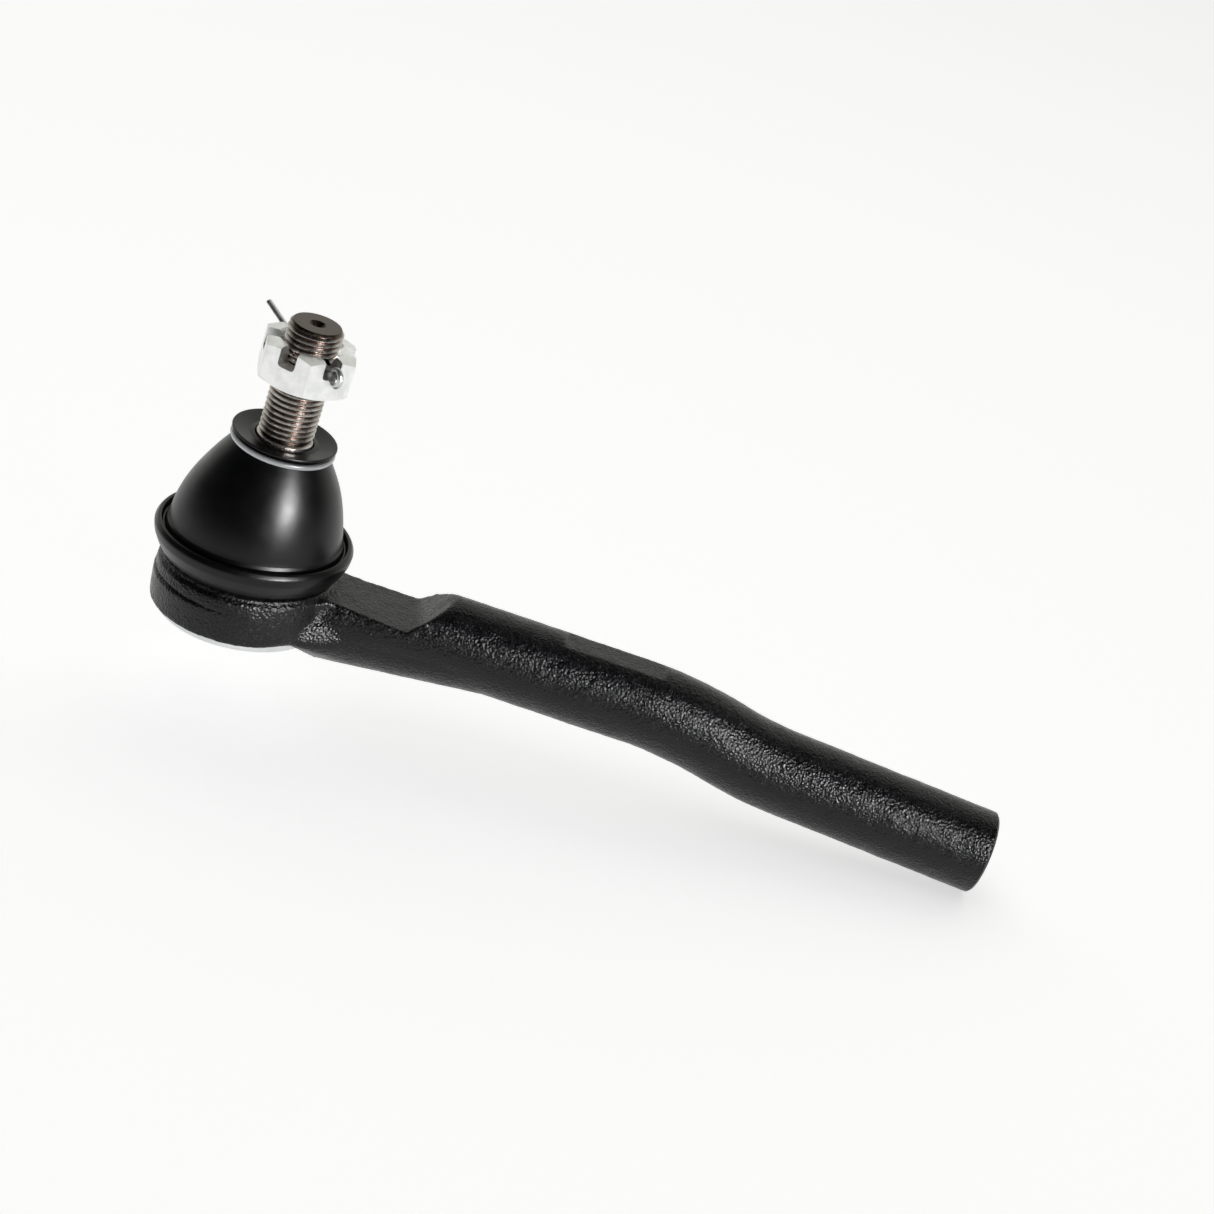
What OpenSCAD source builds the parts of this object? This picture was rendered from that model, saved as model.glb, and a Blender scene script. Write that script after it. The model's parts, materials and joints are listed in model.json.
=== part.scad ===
// Outer tie rod end: a forged housing with a threaded tube, a ball stud held in two seats,
// a rubber dust boot with two rings, and a castle nut locked by a cotter pin.
// +Z is the housing axis, +X runs along the shank, the origin is the middle of the end cover's
// outer face. The stud and what sits on it lean from the housing axis about the ball's centre.

/* [Housing] */
// Outer diameter of the round head
head_d = 39.8; // [39:0.1:42]
// Outer diameter of the neck that the boot's skirt grips
neck_d = 37.2; // [36.8:0.1:37.6]
// Height of the head below the ball's centre
head_below = 12.8; // [12.4:0.1:14]
// Height of the head above the ball's centre
head_above = 7.5; // [7:0.1:8]
// Inner diameter of the chamber that holds the seats
chamber_d = 29; // [28:0.1:30]

/* [Shank] */
// Diameter of the forged bar and of the threaded tube
bar_d = 19; // [18.6:0.1:19.4]
// Width of the arm beside the head
arm_w = 16.1; // [14:0.1:17]
// Height of the bar's centre line where it meets the head's axis
bar_start_z = 6.97; // [6.5:0.01:7.5]
// Lengths of the bar's straight stretches
bar_straights = [38.9, 39.3, 2.8, 47.4]; // [2:0.1:60]
// Angles of the bends between the stretches, in degrees, downwards
bar_bends = [7.7, 13.7, -10.2]; // [-15:0.1:15]
// Slope of the first stretch below the horizontal, in degrees
bar_start_slope = -3.6; // [-5:0.1:0]
// Radius of the bends' centre lines
bend_r = 83; // [60:1:100]
// Depth of the internal thread from the end face
thread_depth = 40; // [30:1:44]
// Core diameter of the internal thread
thread_core_d = 12.38; // [10:0.01:13]

/* [Ball stud] */
// Diameter of the ball
ball_d = 22; // [20:0.5:22]
// Lean of the stud towards the shank, in degrees
lean = 4.2; // [0:0.1:6]
// Diameter of the neck above the ball
stud_neck_d = 11; // [10:0.1:11]
// Diameter of the taper at its wide end
taper_wide_d = 14; // [13.6:0.1:14.2]
// Diameter of the taper at its narrow end
taper_narrow_d = 12.3; // [12.2:0.1:12.6]
// Outer diameter of the stud's thread
stud_thread_d = 12; // [11.8:0.1:12]
// Height of the stud's end above the ball's centre
stud_top = 55.2; // [54:0.1:57]
// Turn of the cotter hole about the stud's axis, in degrees from +X
pin_turn = -48; // [-90:1:90]

/* [Nut and cotter pin] */
// Width of the nut across its flats
nut_flats = 19; // [18:0.5:19]
// Height of the nut's lower face above the ball's centre
nut_seat = 42; // [41.5:0.1:42.5]
// Height of the nut
nut_h = 9; // [8.6:0.1:9.4]
// Width of the six slots
slot_w = 4; // [3.6:0.1:4.2]
// Depth of the six slots
slot_depth = 4.1; // [4:0.1:4.4]
// Diameter of the cotter pin's wire
wire_d = 1.4; // [1.2:0.1:1.5]

/* [Boot] */
// Widest diameter of the boot's skirt
skirt_d = 43.5; // [43:0.1:43.8]
// Thickness of the boot's dome
boot_wall = 1.7; // [1.4:0.1:1.8]
// Diameter of the wire of the upper ring
upper_wire_d = 1.2; // [1:0.1:1.3]
// Diameter of the wire of the lower ring
lower_wire_d = 0.8; // [0.6:0.1:0.9]

/* [End cover and spring] */
// Diameter of the end cover
cover_d = 37; // [35:0.1:37.4]
// Thickness of the end cover
cover_t = 2.2; // [2:0.1:2.4]
// Depth of the round dish pressed out of the end cover
dish = 2.5; // [2:0.1:3]
// Diameter of the preload spring's wire
spring_wire_d = 1.4; // [1.2:0.1:1.6]
// Number of turns of the preload spring
spring_turns = 2.5; // [2:0.5:3]

/* [Hidden] */
$fn = 96;
eps = 0.01;
far = 100;

head_r = head_d / 2;
neck_r = neck_d / 2;
bar_r = bar_d / 2;
ball_r = ball_d / 2;
head_base_z = dish + cover_t;
ball_z = head_base_z + head_below;

seat_gap = 0.07;                       // running clearance between the ball and its seats
seat_inner_r = ball_r + seat_gap;
seat_top = ball_r / 2;                 // height of the upper seat's rim above the ball's centre
mouth_r = 11.2;                        // radius of the housing's mouth, clear of the swung stud
thread_start = 29.6;                   // height of the stud's first thread above the ball's centre
taper_start = 14.6;
taper_end = 28.6;
pin_height = nut_seat + nut_h - slot_depth + 1.6;
rim_lip = 0.35;                        // depth of the thin rim round the end cover's edge
boot_fit = 0.15;                       // gap between the boot and the metal that it grips

flat_z = ball_z - 0.9;                 // height of the arm's flat, run back to the head's axis
flat_slope = 0.111;
flat_end_x = 37.2;
ramp_end_x = 46.5;
ramp_rise = 7.2;

// Frames -------------------------------------------------------------------------------------

module on_ball_centre() {
    translate([0, 0, ball_z]) children();
}

module leaned() {
    on_ball_centre() rotate([0, lean, 0]) children();
}

module torus(ring_r, wire_r) {
    rotate_extrude() translate([ring_r, 0]) circle(wire_r, $fn = 24);
}

// A solid bounded by a sharp-cornered outline in the XZ plane, width w about Y = 0.
module side_prism(w, outline) {
    rotate([90, 0, 0]) linear_extrude(w, center = true) polygon(outline);
}

// Housing ------------------------------------------------------------------------------------

module head_outside() {
    base = -head_below - rim_lip;
    on_ball_centre() rotate_extrude() polygon([
        [0, base], [head_r - 0.4, base], [head_r - 0.15, base + 0.4],
        [head_r, -head_below + 2.5], [head_r, -6.2], [head_r - 0.25, -3.9], [head_r - 0.9, -3],
        [neck_r, -2.8], [neck_r, 2.4], [neck_r - 1.2, 2.8], [neck_r - 1.2, head_above - 2.5],
        [neck_r - 3.2, head_above], [0, head_above]
    ]);
}

module chamber() {
    on_ball_centre() rotate_extrude() polygon([
        [0, -head_below - 1], [chamber_d / 2 + 1.6, -head_below - 1],
        [chamber_d / 2 + 1.6, -head_below + 2.4], [chamber_d / 2, -head_below + 2.4],
        [chamber_d / 2, 1.5], [mouth_r, seat_top], [mouth_r, head_above - 0.9],
        [mouth_r + 1, head_above + eps], [mouth_r + 1, far], [0, far]
    ]);
}

// The shallow parting step, deepest away from the shank and gone on the shank's side.
module parting_step() {
    step_shift = 0.4;
    on_ball_centre() translate([step_shift, 0, -6.5]) difference() {
        cylinder(h = 0.7, r = head_r + 3);
        translate([0, 0, -1]) cylinder(h = 3, r = head_r - 0.12);
    }
}

// Steps past a bend of that angle, so that +X runs on along the bar.
module past_bend(angle) {
    middle = bend_r * sign(angle);
    translate([0, 0, -middle]) rotate([0, angle, 0]) translate([0, 0, middle]) children();
}

// Steps along the bar to the start of stretch n, +X along it; n past the last is the tube's end.
module at_stretch(n, i = 0) {
    if (n == i) children();
    else translate([bar_straights[i], 0, 0]) {
        if (i < len(bar_bends)) past_bend(bar_bends[i]) at_stretch(n, i + 1) children();
        else children();
    }
}

module along_bar() {
    translate([0, 0, bar_start_z]) rotate([0, bar_start_slope, 0]) children();
}

module bend(angle) {
    if (angle < 0) mirror([0, 0, 1]) bend(-angle);
    else translate([0, 0, -bend_r]) rotate([-90, -90, 0])
        rotate_extrude(angle = angle) translate([bend_r, 0]) circle(bar_r);
}

module bar() {
    for (i = [0:len(bar_straights) - 1]) along_bar() at_stretch(i) {
        rotate([0, 90, 0]) cylinder(h = bar_straights[i], r = bar_r);
        if (i < len(bar_bends)) translate([bar_straights[i], 0, 0]) bend(bar_bends[i]);
    }
}

// The squared upper half of the arm, under its flat.
module arm_block() {
    block_end = flat_end_x + 4;
    side_prism(arm_w, [
        [0, bar_start_z + 1], [block_end, bar_start_z + 1], [block_end, flat_z + 2],
        [0, flat_z + 2]
    ]);
}

// Two concave roots that widen the arm where it leaves the head.
module arm_roots() {
    root_r = 7;
    root_y = arm_w / 2 + root_r - 0.1;
    root_x = sqrt(pow(head_r - 0.3 + root_r, 2) - root_y * root_y);
    root_base = head_base_z + 0.4;
    root_top = flat_z - flat_slope * root_x;
    translate([0, 0, root_base]) linear_extrude(root_top - root_base) difference() {
        polygon([[0, 0], [root_x, -root_y], [root_x, root_y]]);
        for (side = [-1, 1]) translate([root_x, side * root_y]) circle(root_r);
    }
}

// The keel, a slimmer bar under the arm that rises more slowly and ends inside the main one.
module keel_section(x, lower_half = false) {
    keel_start_z = 5.63;
    keel_rise = 0.052;
    keel_r = bar_r - 0.3;
    translate([x, 0, keel_start_z + keel_rise * x]) intersection() {
        rotate([0, 90, 0]) cylinder(h = 1, r = keel_r, $fn = 32);
        if (lower_half) translate([0, -bar_r, -bar_r]) cube([1, bar_d, bar_r]);
    }
}

module arm_keel() {
    hull() {
        keel_section(12);
        keel_section(56);
    }
}

// The web under the roots, from the head's lower rim out to the keel.
module arm_web() {
    rim_sweep = 44;
    hull() {
        rotate([0, 0, -rim_sweep]) rotate_extrude(angle = 2 * rim_sweep, $fn = 32)
            translate([head_r - 2, head_base_z]) square([1.6, 1]);
        keel_section(26, true);
    }
}

// What is cut away above the arm: a gently falling flat, then a ramp up to the bar's crown.
module arm_flat_cut() {
    cut_w = 60;
    flat_end_z = flat_z - flat_slope * flat_end_x;
    difference() {
        side_prism(cut_w, [
            [0, flat_z], [flat_end_x, flat_end_z], [ramp_end_x, flat_end_z + ramp_rise],
            [ramp_end_x, ball_z + 30], [0, ball_z + 30]
        ]);
        cylinder(h = far, r = neck_r);
    }
}

// The shallow flat on the crown of the second stretch.
module crown_flat_cut() {
    flat_from = 20.5;
    flat_len = 23.5;
    flat_depth = 0.7;
    along_bar() at_stretch(1)
        translate([flat_from, -bar_r, bar_r - flat_depth]) cube([flat_len, bar_d, flat_depth + 1]);
}

module tube_thread_cut() {
    mouth_chamfer = 1;
    along_bar() at_stretch(len(bar_straights)) rotate([0, 90, 0]) {
        translate([0, 0, -thread_depth]) cylinder(h = thread_depth + 1, d = thread_core_d);
        translate([0, 0, -mouth_chamfer])
            cylinder(h = mouth_chamfer + eps, d1 = thread_core_d,
                     d2 = thread_core_d + 2 * mouth_chamfer);
        translate([0, 0, -thread_depth - 3])
            cylinder(h = 3 + eps, d1 = 0.5, d2 = thread_core_d);
    }
}

module tube_end_chamfer_cut() {
    chamfer = 0.5;
    along_bar() at_stretch(len(bar_straights)) rotate([0, 90, 0]) difference() {
        translate([0, 0, -chamfer]) cylinder(h = 2, r = bar_r + 2);
        translate([0, 0, -chamfer - eps])
            cylinder(h = chamfer + 2 * eps, r1 = bar_r + eps, r2 = bar_r - chamfer);
    }
}

module housing() {
    color("#3a3b40") difference() {
        union() {
            head_outside();
            bar();
            arm_block();
            arm_roots();
            arm_keel();
            arm_web();
        }
        chamber();
        translate([0, 0, head_base_z - 30]) cylinder(h = 30, d = cover_d + 1.3);
        parting_step();
        arm_flat_cut();
        crown_flat_cut();
        tube_thread_cut();
        tube_end_chamfer_cut();
    }
}

// Seats, spring and cover --------------------------------------------------------------------

module upper_seat() {
    seat_r = chamber_d / 2 - 0.05;
    color("#e9e6da") on_ball_centre() difference() {
        rotate_extrude() polygon([
            [0, 0.1], [seat_r, 0.1], [seat_r, 1.4], [mouth_r - 0.05, seat_top - 0.05],
            [0, seat_top - 0.05]
        ]);
        sphere(seat_inner_r);
    }
}

module lower_seat() {
    seat_r = chamber_d / 2 - 0.05;
    seat_base = -head_below + 2.6;
    color("#e9e6da") on_ball_centre() difference() {
        translate([0, 0, seat_base]) cylinder(h = -seat_base - 0.1, r = seat_r);
        sphere(seat_inner_r);
        translate([0, 0, seat_base - 1]) cylinder(h = 4, r = 5.6);
    }
}

// Points of a wire's ring: centre radius c, turned by a about Z, at height h.
function wire_ring(c, a, h, wire_r, sides) = [
    for (k = [0:sides - 1]) let (t = 360 * k / sides, r = c + wire_r * cos(t))
        [r * cos(a), r * sin(a), h + wire_r * sin(t)]
];

module preload_spring() {
    sides = 8;
    steps_per_turn = 20;
    wire_r = spring_wire_d / 2;
    wide_r = 9.2;
    narrow_r = 7;
    low = cover_t + wire_r;
    high = head_base_z + 2.6 - wire_r;
    steps = spring_turns * steps_per_turn;
    rings = [
        for (i = [0:steps]) let (u = i / steps)
            wire_ring(wide_r + (narrow_r - wide_r) * u, 360 * spring_turns * u,
                      low + (high - low) * u, wire_r, sides)
    ];
    skin = [
        for (i = [0:steps - 1], k = [0:sides - 1]) let (n = (k + 1) % sides)
            each [
                [i * sides + k, (i + 1) * sides + n, i * sides + n],
                [i * sides + k, (i + 1) * sides + k, (i + 1) * sides + n]
            ]
    ];
    start_cap = [for (k = [0:sides - 1]) k];
    end_cap = [for (k = [sides - 1:-1:0]) steps * sides + k];
    color("#8d9096")
        polyhedron(points = [for (r = rings) each r], faces = concat(skin, [start_cap, end_cap]));
}

module end_cover() {
    plate_r = cover_d / 2;
    dish_r = 12;
    spigot_r = chamber_d / 2 + 1.55;
    color("#c9ccd0") rotate_extrude() polygon([
        [0, 0], [dish_r - 1, 0], [dish_r + 1.4, dish], [plate_r - 0.7, dish],
        [plate_r, dish + 0.7], [plate_r, dish + cover_t], [spigot_r, dish + cover_t],
        [spigot_r, dish + cover_t + 2.3], [chamber_d / 2 - 0.6, dish + cover_t + 2.3],
        [chamber_d / 2 - 0.6, dish + cover_t], [dish_r - 0.6, dish + cover_t],
        [dish_r - 2, cover_t], [0, cover_t]
    ]);
}

// Boot and its rings -------------------------------------------------------------------------

skirt_r = skirt_d / 2;
dome_from = 5;                         // the dome's foot and neck, above the ball's centre
dome_to = 26.2;
lean_to = 20;                          // height from which the boot leans as much as the stud
groove_z = 3.65;                       // floor of the lower ring's groove
groove_w = 1.1;
groove_r = skirt_r - 2;             // middle of the groove

// Radius of the dome's outside at height s above the ball's centre.
function dome_r(s) = let (u = (s - dome_from) / (dome_to - dome_from))
    19 - 1.9 * u - 6.8 * u * u;

// Share of the stud's lean that the boot has taken up at height s.
function lean_share(s) = let (u = max(0, min(1, (s - dome_from) / (lean_to - dome_from))))
    u * u * (3 - 2 * u);

boot_outline = [
    [neck_r + boot_fit, -1.2], [skirt_r - 1.8, -0.8], [skirt_r - 0.4, 2], [skirt_r, 4.4],
    [skirt_r - 0.5, 5.4], [groove_r + groove_w / 2, 5.5], [groove_r + groove_w / 2, groove_z],
    [groove_r - groove_w / 2, groove_z], [groove_r - groove_w / 2, 5.6],
    for (s = [dome_from + 1.4:3:dome_to - 2.6]) [dome_r(s), s],
    [10.15, dome_to], [10.15, dome_to + 1.5], [11.5, dome_to + 2], [11.5, dome_to + 2.8],
    [6.45, dome_to + 2.2], [6.6, dome_to - 1],
    for (s = [dome_to - 2.4:-4:dome_from + 2.8]) [dome_r(s) - boot_wall, s],
    [neck_r - 1.2 + boot_fit, dome_from], [neck_r - 1.2 + boot_fit, 3], [neck_r + boot_fit, 2.6]
];

function leaned_point(r, t, s) = let (a = lean * lean_share(s), x = r * cos(t))
    [x * cos(a) + s * sin(a), r * sin(t), s * cos(a) - x * sin(a)];

module dust_boot() {
    spokes = 40;
    rows = len(boot_outline);
    skin = [
        for (i = [0:rows - 1], k = [0:spokes - 1])
            let (a = i * spokes + k, b = i * spokes + (k + 1) % spokes,
                 c = ((i + 1) % rows) * spokes + (k + 1) % spokes,
                 d = ((i + 1) % rows) * spokes + k)
                each [[a, c, b], [a, d, c]]
    ];
    color("#1d1e20") on_ball_centre() polyhedron(
        points = [
            for (p = boot_outline, k = [0:spokes - 1]) leaned_point(p[0], 360 * k / spokes, p[1])
        ],
        faces = skin
    );
}

module boot_lower_ring() {
    color("#202124") on_ball_centre() translate([0, 0, groove_z + lower_wire_d / 2 + 0.1])
        torus(groove_r, lower_wire_d / 2);
}

module boot_upper_ring() {
    color("#e4e6e8") leaned() translate([0, 0, dome_to + 0.75])
        torus(10.25 + upper_wire_d / 2, upper_wire_d / 2);
}

// Stud, nut and cotter pin -------------------------------------------------------------------

module ball_stud() {
    neck_r0 = stud_neck_d / 2;
    thread_r = stud_thread_d / 2;
    pin_hole_r = 1.7;
    ball_flat = ball_r - 1.5;
    color("#8b857f") leaned() difference() {
        union() {
            intersection() {
                sphere(ball_r);
                translate([-ball_r, -ball_r, -ball_flat]) cube([ball_d, ball_d, ball_flat + ball_r]);
            }
            rotate_extrude() polygon([
                [0, 0], [neck_r0, 0], [neck_r0, 12], [neck_r0 + 0.5, 13.2],
                [taper_wide_d / 2 - 0.2, taper_start - 0.3], [taper_wide_d / 2, taper_start],
                [taper_narrow_d / 2, taper_end], [thread_r - 0.6, taper_end + 0.3],
                [thread_r - 0.6, thread_start - 0.4], [thread_r, thread_start],
                [thread_r, stud_top - 0.6], [thread_r - 0.6, stud_top], [0, stud_top]
            ]);
        }
        translate([0, 0, pin_height]) rotate([0, 0, pin_turn]) rotate([0, 90, 0])
            cylinder(h = 20, r = pin_hole_r, center = true);
        translate([0, 0, stud_top - 1.6]) cylinder(h = 1.6 + eps, r1 = 0.4, r2 = 1.8);
    }
}

module castle_nut() {
    nut_r = nut_flats / 2 / cos(30);
    bore_r = stud_thread_d / 2 + 0.05;
    face_r = nut_flats / 2 - 0.2;
    color("#d9dcdd") leaned() translate([0, 0, nut_seat]) rotate([0, 0, pin_turn]) difference() {
        intersection() {
            rotate([0, 0, 30]) cylinder(h = nut_h, r = nut_r, $fn = 6);
            rotate_extrude() polygon([
                [0, 0], [face_r, 0], [nut_r + 0.1, 0.8], [nut_r + 0.1, nut_h - 0.9],
                [face_r, nut_h], [0, nut_h]
            ]);
        }
        translate([0, 0, -1]) cylinder(h = nut_h + 2, r = bore_r);
        translate([0, 0, nut_h - 1.8]) cylinder(h = 1.8 + eps, r1 = bore_r, r2 = bore_r + 1.2);
        translate([0, 0, -eps]) cylinder(h = 0.8, r1 = bore_r + 0.7, r2 = bore_r);
        for (turn = [0, 60, 120]) rotate([0, 0, turn])
            translate([-15, -slot_w / 2, nut_h - slot_depth]) cube([30, slot_w, slot_depth + 1]);
    }
}

// A wire along +X that bends upwards by the angle turn, then goes on for the length tail.
module bent_wire(straight, turn, tail) {
    over = 0.05;
    rotate([0, 90, 0]) cylinder(h = straight + over, d = wire_d, $fn = 32);
    translate([straight, 0, 0]) {
        sphere(d = wire_d + 0.06, $fn = 32);
        rotate([0, 90 - turn, 0]) translate([0, 0, -over])
            cylinder(h = tail + over, d = wire_d, $fn = 32);
    }
}

module cotter_pin() {
    leg_z = wire_d / 2 + 0.02;         // the two legs lie one above the other
    eye_r = 1.9;
    eye_x = 11.3;
    neck_x = eye_x - eye_r;
    color("#b9bdbf") leaned() translate([0, 0, pin_height]) rotate([0, 0, pin_turn]) {
        translate([eye_x, 0, 0]) rotate([90, 0, 0]) torus(eye_r, wire_d / 2 + 0.05);
        translate([neck_x, 0, leg_z]) rotate([0, 0, 180]) bent_wire(neck_x + 8.5, 11, 10.6);
        translate([neck_x, 0, -leg_z]) rotate([0, 0, 180]) bent_wire(neck_x + 10.6, -76, 4.7);
    }
}

housing();
upper_seat();
lower_seat();
preload_spring();
end_cover();
dust_boot();
boot_lower_ring();
boot_upper_ring();
ball_stud();
castle_nut();
cotter_pin();
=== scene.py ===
"""Looks of an outer tie rod end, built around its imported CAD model.

Every piece is built in millimetres in the CAD frame, and settle() brings it to metres.
Heights called s are heights above the ball's centre, along the housing's or the stud's axis.
"""

import json
import math

import bmesh
import bpy
import numpy as np
from mathutils import Matrix, Vector, noise


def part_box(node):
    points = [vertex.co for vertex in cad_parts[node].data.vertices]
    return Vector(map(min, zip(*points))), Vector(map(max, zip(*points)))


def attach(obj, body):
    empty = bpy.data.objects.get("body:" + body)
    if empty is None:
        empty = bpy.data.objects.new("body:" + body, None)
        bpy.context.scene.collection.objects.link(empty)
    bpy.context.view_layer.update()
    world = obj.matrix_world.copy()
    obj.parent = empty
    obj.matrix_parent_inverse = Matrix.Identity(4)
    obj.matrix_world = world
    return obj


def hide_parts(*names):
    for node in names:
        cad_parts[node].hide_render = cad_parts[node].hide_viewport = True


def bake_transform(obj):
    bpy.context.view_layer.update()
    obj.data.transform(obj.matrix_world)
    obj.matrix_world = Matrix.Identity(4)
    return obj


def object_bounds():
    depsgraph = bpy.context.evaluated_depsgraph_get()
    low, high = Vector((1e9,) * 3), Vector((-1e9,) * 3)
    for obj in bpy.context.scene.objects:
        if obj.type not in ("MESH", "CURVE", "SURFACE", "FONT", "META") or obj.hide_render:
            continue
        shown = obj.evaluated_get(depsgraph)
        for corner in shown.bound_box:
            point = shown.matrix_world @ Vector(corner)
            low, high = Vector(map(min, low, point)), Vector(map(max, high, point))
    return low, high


MM = 0.001
TAU = 2 * math.pi
SPOKES = 144

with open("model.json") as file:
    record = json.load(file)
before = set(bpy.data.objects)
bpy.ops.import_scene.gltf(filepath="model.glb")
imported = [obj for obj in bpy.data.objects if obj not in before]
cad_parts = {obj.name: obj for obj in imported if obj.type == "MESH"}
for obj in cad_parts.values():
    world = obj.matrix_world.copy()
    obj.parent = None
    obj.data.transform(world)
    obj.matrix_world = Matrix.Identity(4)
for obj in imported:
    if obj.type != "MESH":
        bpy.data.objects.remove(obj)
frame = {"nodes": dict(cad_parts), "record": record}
cad_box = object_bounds()
joints = {j["name"]: j for j in frame["record"]["behaviour"]["joints"]}
mounts = {m["name"]: m for m in frame["record"]["mounts"]}

# Frames ---------------------------------------------------------------------------------------

BALL_CENTRE = Vector(joints["stud_spin"]["pos_m"]) / MM
STUD_AXIS = Vector(joints["stud_spin"]["axis"]).normalized()
LEAN = math.asin(STUD_AXIS.x)
TUBE_AXIS = Vector(mounts["tube_thread"]["axis"]).normalized()
MOUTH_CHAMFER = 1.0
TUBE_END = Vector(mounts["tube_thread"]["pos_m"]) / MM + TUBE_AXIS * MOUTH_CHAMFER


def axis_frame(origin, axis):
    """A frame at origin whose Z runs along axis and whose Y is the frame's own Y."""
    z = Vector(axis)
    y = Vector((0, 1, 0))
    x = y.cross(z).normalized()
    turn = Matrix((x, y, z)).transposed().to_4x4()
    return Matrix.Translation(origin) @ turn


ON_BALL = Matrix.Translation(BALL_CENTRE)
ON_STUD = axis_frame(BALL_CENTRE, STUD_AXIS)
ON_TUBE = axis_frame(TUBE_END, TUBE_AXIS)

# Sizes, in millimetres ------------------------------------------------------------------------

HEAD_R = 19.9
NECK_R = 18.6
HEAD_BELOW = 12.8
HEAD_ABOVE = 7.5
RIM_LIP = 0.35
COVER_RECESS_R = 19.15
PARTING_S = -6.1
HEAD_BASE_Z = BALL_CENTRE.z - HEAD_BELOW
CHAMBER_R = 14.5
MOUTH_R = 11.2
BAR_R = 9.5
BAR_START_Z = 6.97
BAR_STRAIGHTS = (38.9, 39.3, 2.8, 47.4)
BAR_BENDS = np.radians((7.7, 13.7, -10.2))
BAR_START_SLOPE = math.radians(-3.6)
BEND_R = 83
CROWN_FLAT = (20.5, 44)
CROWN_FLAT_H = BAR_R - 0.7
KEEL_R = BAR_R - 0.3
KEEL_X = (12, 56)
KEEL_START_Z = 5.63
KEEL_RISE = 0.052
ARM_W = 16.1
FLAT_Z = BALL_CENTRE.z - 0.9
FLAT_SLOPE = 0.111
FLAT_END_X = 37.2
RAMP_END_X = 46.5
RAMP_RISE = 7.2
TUBE_CORE_R = mounts["tube_thread"]["dims"]["r_mm"]
TUBE_THREAD_R = 7.0
TUBE_PITCH = 1.5
TUBE_DEPTH = 40

BALL_R = 11
STUD_NECK_R = 5.5
TAPER = ((7.0, 14.6), (6.15, 28.6))
STUD_THREAD_R = 6.0
STUD_CORE_R = 5.3
STUD_PITCH = 1.25
THREAD_START = 29.6
STUD_TOP = 55.2
PIN_TURN = math.radians(-48)
PIN_HEIGHT = 48.5
PIN_HOLE_R = 1.7

NUT_FLATS = 19
NUT_SEAT = 42
NUT_H = 9
SLOT_W = 4
SLOT_DEPTH = 4.1
PIN_WIRE_R = 0.72

SKIRT_R = 21.75
DOME_FROM = 5
DOME_TO = 26.2
LEAN_TO = 20
GROOVE_R = SKIRT_R - 2
GROOVE_W = 1.0
GROOVE_S = 3.65
LOWER_WIRE_R = 0.4
UPPER_WIRE_R = 0.62
UPPER_RING_R = 10.88
BOOT_WALL = 1.7
BOOT_CUT = 15.4

NUT_PLACE = ON_STUD @ Matrix.Translation((0, 0, NUT_SEAT)) @ Matrix.Rotation(PIN_TURN, 4, "Z")

# Mesh tools -----------------------------------------------------------------------------------


def in_scene(name, mesh):
    """A new object in the scene that shows the mesh."""
    obj = bpy.data.objects.new(name, mesh)
    bpy.context.scene.collection.objects.link(obj)
    return obj


def make(name, points, faces, place=None):
    """A mesh object from points and faces, its normals outwards, set in place."""
    mesh = bpy.data.meshes.new(name)
    mesh.from_pydata([tuple(map(float, p)) for p in points], [], faces)
    bm = bmesh.new()
    bm.from_mesh(mesh)
    bmesh.ops.recalc_face_normals(bm, faces=bm.faces)
    bm.to_mesh(mesh)
    bm.free()
    if place is not None:
        mesh.transform(place)
    return in_scene(name, mesh)


def bake(obj):
    """Applies the object's modifiers to its mesh."""
    dg = bpy.context.evaluated_depsgraph_get()
    mesh = bpy.data.meshes.new_from_object(obj.evaluated_get(dg))
    obj.modifiers.clear()
    obj.data = mesh
    return obj


def combine(obj, tool, operation="DIFFERENCE"):
    """Cuts tool from obj, joins it or keeps what both share, and removes the tool."""
    step = obj.modifiers.new("combine", "BOOLEAN")
    step.operation = operation
    step.solver = "MANIFOLD"
    step.object = tool
    bake(obj)
    bpy.data.objects.remove(tool)
    return obj


def bevelled(obj, width):
    """Bevels the sharp edges."""
    step = obj.modifiers.new("edges", "BEVEL")
    step.width = width
    step.segments = 2
    step.limit_method = "ANGLE"
    step.angle_limit = math.radians(30)
    step.use_clamp_overlap = True
    return bake(obj)


def settle(obj, sharp_angle=35):
    """Brings a finished piece to metres and sets its shading."""
    obj.data.transform(Matrix.Scale(MM, 4))
    obj.data.shade_smooth()
    if sharp_angle:
        obj.data.set_sharp_from_angle(angle=math.radians(sharp_angle))
    return obj


def rounded(corners, closed=True, steps=5):
    """An outline whose corners, each (x, z, radius), are rounded."""
    outline = []
    count = len(corners)
    for i, (x, z, radius) in enumerate(corners):
        here = np.array((x, z), float)
        if radius == 0 or (not closed and i in (0, count - 1)):
            outline.append(here)
            continue
        back = np.array(corners[i - 1][:2], float) - here
        ahead = np.array(corners[(i + 1) % count][:2], float) - here
        back_len, ahead_len = np.linalg.norm(back), np.linalg.norm(ahead)
        half = math.acos(np.clip(back @ ahead / (back_len * ahead_len), -1, 1)) / 2
        reach = min(radius / math.tan(half), 0.48 * back_len, 0.48 * ahead_len)
        start, end = here + back / back_len * reach, here + ahead / ahead_len * reach
        for t in np.linspace(0, 1, steps + 1):
            outline.append((1 - t) ** 2 * start + 2 * t * (1 - t) * here + t * t * end)
    return outline


def ring_faces(a, b):
    """Faces between two rings of point numbers, either of which may be a single point."""
    count = max(len(a), len(b))
    faces = []
    for k in range(count):
        n = (k + 1) % count
        corners = [a[k % len(a)], a[n % len(a)], b[n % len(b)], b[k % len(b)]]
        face = list(dict.fromkeys(corners))
        if len(face) > 2:
            faces.append(face)
    return faces


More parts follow.
